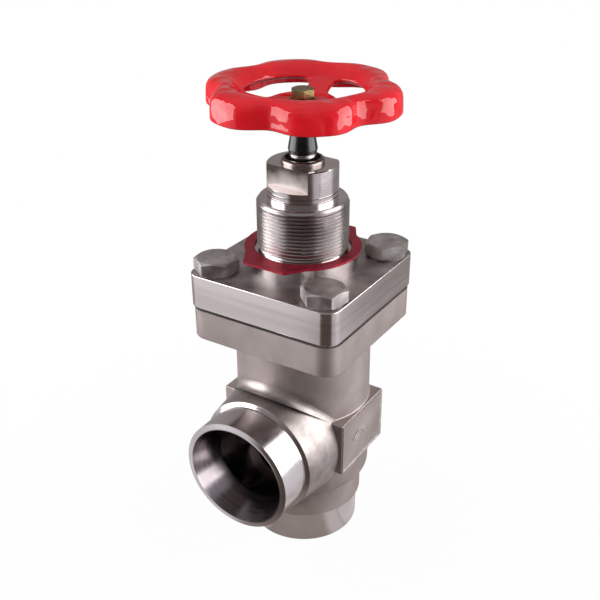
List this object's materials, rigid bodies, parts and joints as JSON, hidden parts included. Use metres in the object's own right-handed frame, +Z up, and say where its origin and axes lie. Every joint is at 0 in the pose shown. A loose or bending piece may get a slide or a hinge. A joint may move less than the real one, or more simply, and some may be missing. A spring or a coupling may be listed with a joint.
{
  "type": "refrigeration stop valve",
  "caption": "Angle stop valve with butt-weld pipe ends, square bolted bonnet, threaded neck for a seal cap and a lobed handwheel that lifts the valve cone off its seat.",
  "frame": {"origin": "centre of the lower pipe end's face, on the spindle axis", "axes": "+Z up along the spindle, -Y out of the side pipe end, +X to the right seen from the side pipe end"},
  "size_m": [0.075, 0.0889, 0.2009],
  "materials": {
    "cast_body": "satin",
    "bonnet_steel": "machined",
    "bolt_steel": "satin",
    "marking_ring": "satin",
    "gasket": "matt",
    "turned_steel": "turned",
    "spring_steel": "polished",
    "seal_rubber": "matt",
    "packing": "matt",
    "seal_plastic": "satin",
    "black_plastic": "gloss",
    "red_paint": "gloss",
    "plated_screw": "zinc plated"
  },
  "bodies": {
    "valve_body": {"housing": "cast_body", "bonnet": "bonnet_steel", "flange_gasket": "gasket", "bolt_front_left": "bolt_steel", "bolt_front_right": "bolt_steel", "bolt_back_right": "bolt_steel", "bolt_back_left": "bolt_steel", "packing_gland": "turned_steel", "gland_o_ring": "seal_rubber", "wiper_ring": "seal_rubber", "packing_rings": "packing", "packing_washer": "turned_steel", "packing_spring": "spring_steel"},
    "marking_ring": {"marking_ring": "marking_ring"},
    "cone": {"valve_cone": "turned_steel", "seat_seal_ring": "seal_plastic", "seal_retainer": "turned_steel", "retainer_screw": "turned_steel", "thrust_pad": "spring_steel", "locking_balls": "spring_steel", "ball_plug": "turned_steel"},
    "spindle": {"spindle": "turned_steel", "spindle_sleeve": "black_plastic", "handwheel": "red_paint", "handwheel_washer": "plated_screw", "handwheel_screw": "plated_screw"}
  },
  "joints": [
    {"name": "cone_lift", "type": "slide", "parent": "valve_body", "child": "cone", "axis": [0, 0, 1], "range_m": [0, 0.015]},
    {"name": "handwheel_turn", "type": "hinge", "parent": "cone", "child": "spindle", "pos_m": [0, 0, 0.1], "axis": [0, 0, 1], "range_deg": [0, 1800]},
    {"name": "marking_ring_turn", "type": "hinge", "parent": "valve_body", "child": "marking_ring", "pos_m": [0, 0, 0.1345], "axis": [0, 0, 1], "continuous": true}
  ],
  "couplings": [
    {"joint": "cone_lift", "follows": "handwheel_turn", "m_per_rad": 0.00047746}
  ]
}
